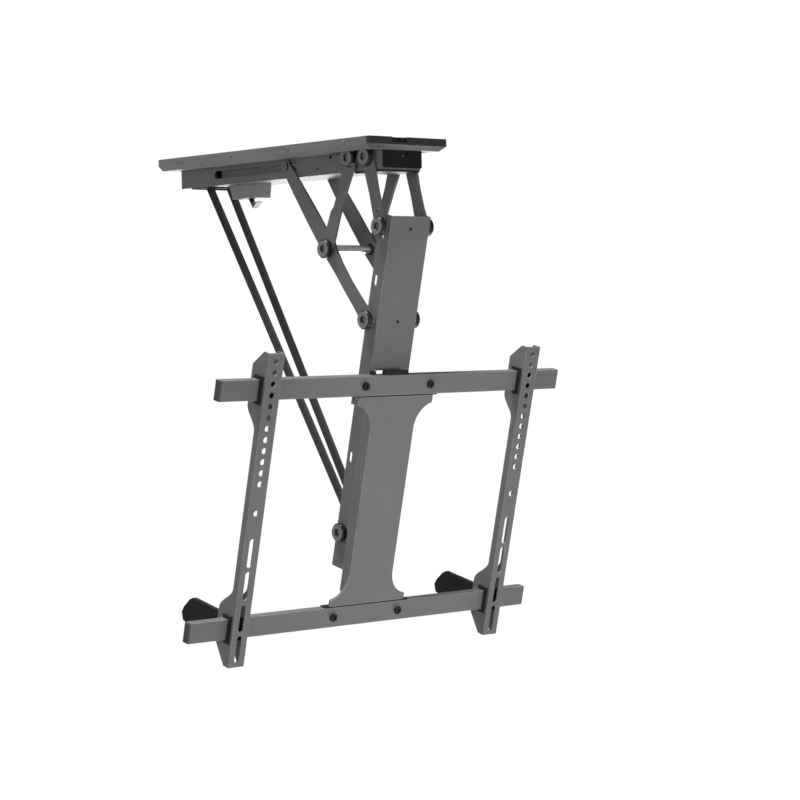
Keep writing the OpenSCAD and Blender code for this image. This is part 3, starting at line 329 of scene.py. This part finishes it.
# The limit switch box takes the steel colour made 1.7 times lighter.
box_steel = coat("box_steel_lighter", scaled(STEEL, 1.7), STEEL_ROUGH, 0.6, WORN_AND_LIT_EDGE)
screw_paint = coat("painted_screws", STEEL, STEEL_ROUGH, 0.0, WORN_AND_LIT_EDGE)
dark_steel = coat("dark_steel", (0.06, 0.062, 0.064), 0.45, 0.3, (0.25, 0.255, 0.26))
# The bolt heads' end faces are painted light grey against the black sides: a painted highlight.
black_steel = coat("blackened_bolts", (0.012, 0.0125, 0.013), 0.34, 0.5, (0.16, 0.165, 0.17),
                   2200, 0.00004, 0.5, lit_face_color=(0.22, 0.224, 0.228))
black_screws = coat("blackened_screws", (0.006, 0.0062, 0.0065), 0.22, 0.4, (0.14, 0.145, 0.15),
                    2200, 0.00003, 0.5)
black_plastic = plastic("black_plastic", (0.009, 0.0092, 0.0095), 0.48)
cap_plastic = plastic("dark_grey_plastic", (0.042, 0.0424, 0.043), 0.3, 1800, 0.4, 0.06)
box_plastic = plastic("glossy_black_plastic", (0.007, 0.0072, 0.0075), 0.24, 1800, 0.4, 0.06)
end_steel = coat("darker_steel", scaled(STEEL, 0.42), STEEL_ROUGH, 0.7, WORN_AND_LIT_EDGE)
nylon = plastic("pale_nylon", (0.62, 0.61, 0.57), 0.42, 1800)
zinc = metal("zinc_plate", (0.62, 0.63, 0.65), 0.34, 0.08)
dark_zinc = metal("dark_zinc", (0.24, 0.245, 0.25), 0.36, 0.06)
chrome = metal("chrome_rod", (0.93, 0.935, 0.94), 0.22, 0.04)
strap_cloth = webbing("woven_strap", (0.032, 0.0325, 0.033))
board_green = board_material()
window_red = window_material()

# Smooth shading up to an angle, for the curves of the CAD nodes
SMOOTH_ANGLE = math.radians(21)
smooth_tree = bpy.data.node_groups.new("smooth_by_angle", "GeometryNodeTree")
for way in ("INPUT", "OUTPUT"):
    smooth_tree.interface.new_socket("Geometry", in_out=way, socket_type="NodeSocketGeometry")
g_in = smooth_tree.nodes.new("NodeGroupInput")
g_out = smooth_tree.nodes.new("NodeGroupOutput")
edge_angle = smooth_tree.nodes.new("GeometryNodeInputMeshEdgeAngle")
below = smooth_tree.nodes.new("FunctionNodeCompare")
below.operation = "LESS_THAN"
below.inputs[1].default_value = SMOOTH_ANGLE
on_faces = smooth_tree.nodes.new("GeometryNodeSetShadeSmooth")
on_faces.domain = "FACE"
on_edges = smooth_tree.nodes.new("GeometryNodeSetShadeSmooth")
on_edges.domain = "EDGE"
for a, b in ((edge_angle.outputs[0], below.inputs[0]),
             (g_in.outputs[0], on_faces.inputs[0]),
             (on_faces.outputs[0], on_edges.inputs[0]),
             (below.outputs[0], on_edges.inputs["Shade Smooth"]),
             (on_edges.outputs[0], g_out.inputs[0])):
    smooth_tree.links.new(a, b)

# Edges of the CAD nodes
WELD_AT = 0.000002
FLAT_ANGLE = math.radians(0.5)
BEVEL_ANGLE = math.radians(40)
BEVEL_STEPS = 2
NORMAL_WEIGHT = 100
SOFT_EDGE = 0.001
CAP_EDGE = 0.0008
SHEET_EDGE = 0.0004
BOLT_EDGE = 0.0003
FINE_EDGE = 0.0002


def dress(names, material, width=SHEET_EDGE):
    """Gives CAD nodes a material and small rounded edges. Merging flat faces first keeps the edges clean."""
    for name in names:
        o = nodes[name]
        o.data.materials.clear()
        o.data.materials.append(material)
        if "custom_normal" in o.data.attributes:
            o.data.attributes.remove(o.data.attributes["custom_normal"])
        weld = o.modifiers.new("weld", "WELD")
        weld.merge_threshold = WELD_AT
        flat = o.modifiers.new("flat", "DECIMATE")
        flat.decimate_type = "DISSOLVE"
        flat.angle_limit = FLAT_ANGLE
        if width:
            bevel = o.modifiers.new("bevel", "BEVEL")
            bevel.width = width
            bevel.segments = BEVEL_STEPS
            bevel.limit_method = "ANGLE"
            bevel.angle_limit = BEVEL_ANGLE
        o.modifiers.new("smooth", "NODES").node_group = smooth_tree
        weighted = o.modifiers.new("weighted", "WEIGHTED_NORMAL")
        weighted.mode = "FACE_AREA"
        weighted.weight = NORMAL_WEIGHT
        weighted.keep_sharp = True


dress(("tray_cover", "channel", "slide_tracks", "short_link_left", "short_link_right", "long_link_left",
       "long_link_right", "top_link_left", "top_link_right"), steel)
dress(("column", "carrier_plate", "upper_rail", "lower_rail", "screen_bracket_left",
       "screen_bracket_right"), frame_steel, SOFT_EDGE)
dress(("limit_switch_box",), box_steel)
dress(("cover_screws",), screw_paint)
dress(("rail_end_caps",), end_steel, CAP_EDGE)
dress(("ceiling_plate", "motor_saddle"), dark_steel)
dress(("ceiling_pivot_bolts", "middle_pivot_bolts", "slide_pins", "top_link_bolts", "column_pivot_bolts",
       "strap_axle_bolts"), black_steel, BOLT_EDGE)
dress(("channel_bolts", "rail_screws"), black_screws, BOLT_EDGE)
dress(("cover_front_cap",), cap_plastic)
dress(("control_box", "power_inlet"), box_plastic)
# rail_strips and bump_stop are black parts set where dark lines of shade run under the upper rail, above the
# lower rail and under the channel's front: painted shade.
dress(("cable_bush", "rod_washers", "cable_clips", "drum_bushes", "strap_grommet", "bump_stop",
       "strap_drum", "rail_strips", "bracket_liners_left", "bracket_liners_right", "rail_latch_left",
       "rail_latch_right"), black_plastic)
dress(("switch_lever",), dark_zinc, FINE_EDGE)
dress(("gear_motor", "gearbox", "drum_shaft", "ceiling_spacers", "strap_axle", "latch_pins_left",
       "latch_pins_right"), zinc, FINE_EDGE)
dress(("cross_rod",), chrome, FINE_EDGE)
dress(("control_board",), board_green, 0)
dress(("infrared_window",), window_red, BOLT_EDGE)
dress(("slide_shoes", "slide_guides"), nylon)


def new_object(name, mesh, material, body):
    o = bpy.data.objects.new(name, mesh)
    scene.collection.objects.link(o)
    mesh.materials.append(material)
    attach(o, body)
    return o


def to_mesh(bm, name):
    mesh = bpy.data.meshes.new(name)
    bm.to_mesh(mesh)
    bm.free()
    return mesh


def around(count):
    """Angles of a circle's points."""
    return (2 * math.pi * i / count for i in range(count))


# Lifting straps
FOOT = Vector((0, -0.131, -0.579))
EXIT = Vector((0, 0.195, -0.049))
RISE = 0.024
FOOT_X = 0.0086
DRUM_X = 0.02
STRAP_W = 0.016
STRAP_T = 0.0018
AXLE_R = 0.006
RUN = EXIT - FOOT
LENGTH = RUN.length + RISE
TILT = math.atan2(RUN.y, RUN.z)
SKEW = math.atan((DRUM_X - FOOT_X) / RUN.length)
Y_AXIS = Vector((0, 1, 0))


def strap_frame(side):
    """Matrix whose z runs up the strap, x across it and y through its thickness."""
    foot = Matrix.Translation((FOOT_X, FOOT.y, FOOT.z))
    m = foot @ Matrix.Rotation(-TILT, 4, "X") @ Matrix.Rotation(SKEW, 4, "Y")
    return Matrix.Diagonal((side, 1, 1, 1)) @ m


def band(name, rings, width, thickness, close=False):
    """Webbing along rings of (centre, outward normal), with rounded selvedges and a uv map in metres."""
    half = width / 2
    t = thickness / 2
    in_edge = half - t * 0.6
    section = [(-half, 0), (-half + t * 0.6, t), (-half * 0.5, t), (0, t), (half * 0.5, t), (in_edge, t),
               (half, 0), (in_edge, -t), (0, -t), (-half + t * 0.6, -t)]
    bm = bmesh.new()
    uv = bm.loops.layers.uv.new("UVMap")
    loops, length, marks = [], 0.0, []
    for i, (c, n) in enumerate(rings):
        if i:
            length += (c - rings[i - 1][0]).length
        marks.append(length)
        loops.append([bm.verts.new(c + Vector((a, 0, 0)) + n * b) for a, b in section])
    pairs = list(range(len(loops) - 1)) + ([len(loops) - 1] if close else [])
    k = len(section)
    for i in pairs:
        j = (i + 1) % len(loops)
        v1 = marks[i]
        v2 = marks[j] if j else length + (rings[0][0] - rings[-1][0]).length
        for a in range(k):
            b = (a + 1) % k
            f = bm.faces.new((loops[i][a], loops[i][b], loops[j][b], loops[j][a]))
            f.smooth = True
            for loop, (w, v) in zip(f.loops, ((a, v1), (b, v1), (b, v2), (a, v2))):
                loop[uv].uv = (section[w][0], v)
    if not close:
        bm.faces.new(loops[0][::-1])
        bm.faces.new(loops[-1])
    bmesh.ops.recalc_face_normals(bm, faces=bm.faces)
    return to_mesh(bm, name)


BEAD_SIDES = 6
BEAD_SHARE = 0.8
BEAD_RINGS = ((-0.5, 0.00012), (-0.3, 0.0003), (0.3, 0.0003), (0.5, 0.00012))


def stitches(name, rows):
    """Short thread beads lying on the strap; rows hold (start, end, count) in the strap's own frame."""
    bm = bmesh.new()
    for a, b, count in rows:
        a, b = Vector(a), Vector(b)
        step = (b - a) / count
        side = step.normalized().cross(Y_AXIS).normalized()
        for i in range(count):
            c = a + step * (i + 0.5)
            ends = []
            for s, r in BEAD_RINGS:
                ring = []
                for q in range(BEAD_SIDES):
                    w = q * 2 * math.pi / BEAD_SIDES
                    out = (side * math.cos(w) + Y_AXIS * math.sin(w)) * r
                    ring.append(bm.verts.new(c + step * BEAD_SHARE * s + out))
                ends.append(ring)
            for r1, r2 in zip(ends, ends[1:]):
                for q in range(BEAD_SIDES):
                    p = (q + 1) % BEAD_SIDES
                    bm.faces.new((r1[q], r1[p], r2[p], r2[q])).smooth = True
            bm.faces.new(ends[0][::-1])
            bm.faces.new(ends[-1])
    bmesh.ops.recalc_face_normals(bm, faces=bm.faces)
    return to_mesh(bm, name)


RUN_STEPS = 90
RUN_START = AXLE_R + 0.0002
LOOP_STEPS = 40
LOOP_R = AXLE_R + 0.00005 + STRAP_T / 2
LAP_L = 0.062
LAP_GAP = 0.0001
LAP_STEPS = 24
LAP_START = AXLE_R * 0.55
LAP_T_SHARE = 0.94
LAP_EASE_SHARE = 0.12
LAP_LIFT = 1.8
LAP_Y = -(STRAP_T + LAP_GAP)
STITCH_Y = LAP_Y - STRAP_T * 0.47
STITCH_X = STRAP_W / 2 - 0.002
STITCH_LOW = AXLE_R + 0.014
STITCH_HIGH = LAP_START + LAP_L - 0.003
STITCHES_ALONG = 14
STITCHES_ACROSS = 5
STITCHES_CROSS = 15

thread = plastic("strap_thread", (0.05, 0.05, 0.052), 0.7, 3000, 0.2)
low_left = (-STITCH_X, STITCH_Y, STITCH_LOW)
low_right = (STITCH_X, STITCH_Y, STITCH_LOW)
high_left = (-STITCH_X, STITCH_Y, STITCH_HIGH)
high_right = (STITCH_X, STITCH_Y, STITCH_HIGH)
stitch_rows = [(low_left, high_left, STITCHES_ALONG), (low_right, high_right, STITCHES_ALONG),
               (low_left, low_right, STITCHES_ACROSS), (high_left, high_right, STITCHES_ACROSS),
               (low_left, high_right, STITCHES_CROSS), (low_right, high_left, STITCHES_CROSS)]

run_rings = [(Vector((0, 0, RUN_START + (LENGTH - RUN_START) * i / RUN_STEPS)), Y_AXIS)
             for i in range(RUN_STEPS + 1)]
loop_ways = [Vector((0, math.cos(a), math.sin(a))) for a in around(LOOP_STEPS)]
loop_rings = [(way * LOOP_R, way) for way in loop_ways]
lap_rings = []
for i in range(LAP_STEPS):
    s = i / (LAP_STEPS - 1)
    ease = max(0.0, 1 - s / LAP_EASE_SHARE)
    lap_rings.append((Vector((0, LAP_Y * (1 + LAP_LIFT * ease * ease), LAP_START + LAP_L * s)), Y_AXIS))

for side, word in ((-1, "left"), (1, "right")):
    m = strap_frame(side)
    pieces = (("strap_band_" + word, band, (run_rings, STRAP_W, STRAP_T), strap_cloth),
              ("strap_loop_" + word, band, (loop_rings, STRAP_W, STRAP_T, True), strap_cloth),
              ("strap_lap_" + word, band, (lap_rings, STRAP_W, STRAP_T * LAP_T_SHARE), strap_cloth),
              ("strap_stitches_" + word, stitches, (stitch_rows,), thread))
    for name, build, values, material in pieces:
        mesh = build(name, *values)
        mesh.transform(m)
        o = new_object(name, mesh, material, "straps")
        if "band" in name:
            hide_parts("strap_" + word)
        if "loop" not in name:
            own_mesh(o)

# Strap wound on the drum
ROLL_IN = 0.00915
TURNS = 2
TURN_STEPS = 48
LAST_TURN = 0.15
WRAP_SHARE = 0.96
drum_lo, drum_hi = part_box("strap_rolls")
drum_mid = (drum_lo + drum_hi) / 2
roll_out = (drum_hi.z - drum_lo.z) / 2
pitch = (roll_out - ROLL_IN) / (TURNS + LAST_TURN)
spiral = []
for i in range(TURNS * TURN_STEPS + 1):
    a = 2 * math.pi * i / TURN_STEPS
    r = min(ROLL_IN + pitch * 0.5 + pitch * i / TURN_STEPS, roll_out - pitch * 0.5)
    way = Vector((0, math.cos(a), math.sin(a)))
    spiral.append((way * r, way))
for side, word in ((-1, "left"), (1, "right")):
    mesh = band("strap_wrap_" + word, spiral, STRAP_W, pitch * WRAP_SHARE)
    mesh.transform(Matrix.Translation((side * DRUM_X, drum_mid.y, drum_mid.z)))
    o = new_object("strap_wrap_" + word, mesh, strap_cloth, "winding_drum")
    if side < 0:
        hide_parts("strap_rolls")

# Floor at the height of a room's floor
FLOOR_Z = -2.4
FLOOR_R = 12
FLOOR_SIDES = 64
FLOOR_COLOR = (0.82, 0.82, 0.82, 1)
FLOOR_GLOW = 0.92
bm = bmesh.new()
bm.faces.new([bm.verts.new((FLOOR_R * math.cos(a), FLOOR_R * math.sin(a), FLOOR_Z))
              for a in around(FLOOR_SIDES)])
floor_mesh = to_mesh(bm, "floor")
floor = bpy.data.objects.new("floor", floor_mesh)
scene.collection.objects.link(floor)
t = Tree("floor")
diffuse = t.add("ShaderNodeBsdfDiffuse")
diffuse.inputs["Color"].default_value = FLOOR_COLOR
glow = t.add("ShaderNodeEmission")
glow.inputs["Strength"].default_value = FLOOR_GLOW
both = t.add("ShaderNodeAddShader")
t.link(diffuse.outputs[0], both.inputs[0])
t.link(glow.outputs[0], both.inputs[1])
path = t.add("ShaderNodeLightPath")
choose = t.add("ShaderNodeMixShader")
t.link(path.outputs["Is Camera Ray"], choose.inputs[0])
t.link(diffuse.outputs[0], choose.inputs[1])
t.link(both.outputs[0], choose.inputs[2])
out = t.add("ShaderNodeOutputMaterial")
t.link(choose.outputs[0], out.inputs[0])
floor_mesh.materials.append(t.material)

# White to the camera, soft fill light to everything else
FILL = 0.22
WHITE = (1, 1, 1, 1)
world = bpy.data.worlds.new("world")
scene.world = world
world.use_nodes = True
w = world.node_tree
w.nodes.clear()
path = w.nodes.new("ShaderNodeLightPath")
fill = w.nodes.new("ShaderNodeBackground")
white = w.nodes.new("ShaderNodeBackground")
for background, strength in ((fill, FILL), (white, 1.0)):
    background.inputs["Color"].default_value = WHITE
    background.inputs["Strength"].default_value = strength
pick = w.nodes.new("ShaderNodeMixShader")
w.links.new(path.outputs["Is Camera Ray"], pick.inputs[0])
w.links.new(fill.outputs[0], pick.inputs[1])
w.links.new(white.outputs[0], pick.inputs[2])
world_out = w.nodes.new("ShaderNodeOutputWorld")
w.links.new(pick.outputs[0], world_out.inputs[0])

# Lights as name, place, target, diameter, watts and beam angle in degrees
CENTRE = (0, -0.05, -0.4)
WIDE = 180
LIGHTS = (
    ("key", (0.4, -1.7, -0.7), (0.05, -0.19, -0.5), 0.7, 0.85, 42),
    ("above", (-0.5, 0.3, 2.6), CENTRE, 1.2, 150, WIDE),
    ("below", (0.9, -0.2, -2.2), CENTRE, 1.6, 30, WIDE),
    ("left", (-3.2, -1.2, -0.1), CENTRE, 1.4, 30, WIDE),
    ("behind", (2.3, 2.5, -1.1), (0, 0, -0.2), 2.6, 60, WIDE),
)
for name, place, target, size, power, beam in LIGHTS:
    data = bpy.data.lights.new(name, "AREA")
    data.spread = math.radians(beam)
    data.shape = "DISK"
    data.size = size
    data.energy = power
    o = bpy.data.objects.new(name, data)
    scene.collection.objects.link(o)
    o.location = place
    o.rotation_mode = "QUATERNION"
    o.rotation_quaternion = (Vector(target) - Vector(place)).to_track_quat("-Z", "Y")
